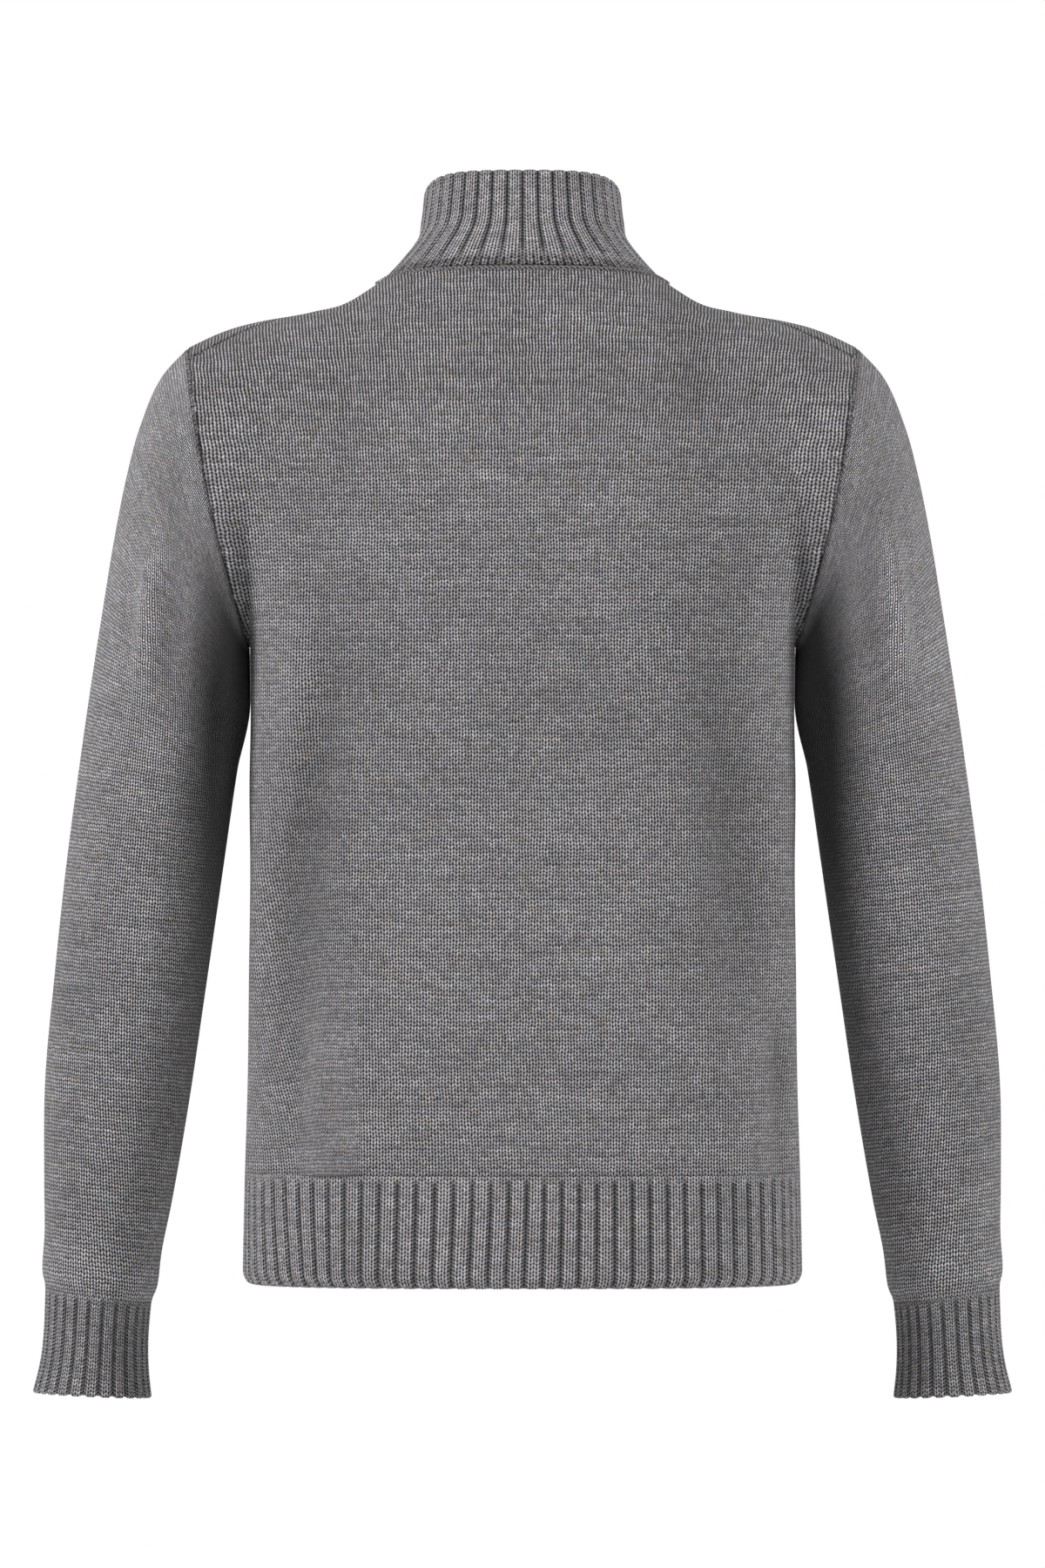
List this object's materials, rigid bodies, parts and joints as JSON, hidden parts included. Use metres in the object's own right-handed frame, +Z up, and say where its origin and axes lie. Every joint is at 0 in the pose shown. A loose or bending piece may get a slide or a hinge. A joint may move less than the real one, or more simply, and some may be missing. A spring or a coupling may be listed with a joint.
{
  "type": "high neck cardigan",
  "caption": "Long-sleeved chunky knit cardigan with a ribbed stand-up collar, ribbed hem and cuffs and a buttoned front, filled out as worn.",
  "frame": {"origin": "the middle of the neck at the height of the shoulders, where the wearer's shoulders carry the garment", "axes": "+Z up along the body, +X to the wearer's left, the front faces -Y"},
  "size_m": [0.6204, 0.2565, 0.7735],
  "materials": {
    "knit": "melange mid-grey chunky wool knit, matt",
    "button": "dark grey horn-look resin, satin"
  },
  "bodies": {
    "root": {"back": "knit", "front_left": "knit", "front_right": "knit", "hem_rib_back": "knit", "hem_rib_front_left": "knit", "hem_rib_front_right": "knit", "collar": "knit", "sleeve_left": "knit", "sleeve_right": "knit", "cuff_left": "knit", "cuff_right": "knit", "buttonhole_band_left": "knit", "button_band_right": "knit", "button_1": "button", "button_2": "button", "button_3": "button", "button_4": "button", "button_5": "button", "button_6": "button", "button_7": "button", "button_8": "button"}
  },
  "joints": []
}
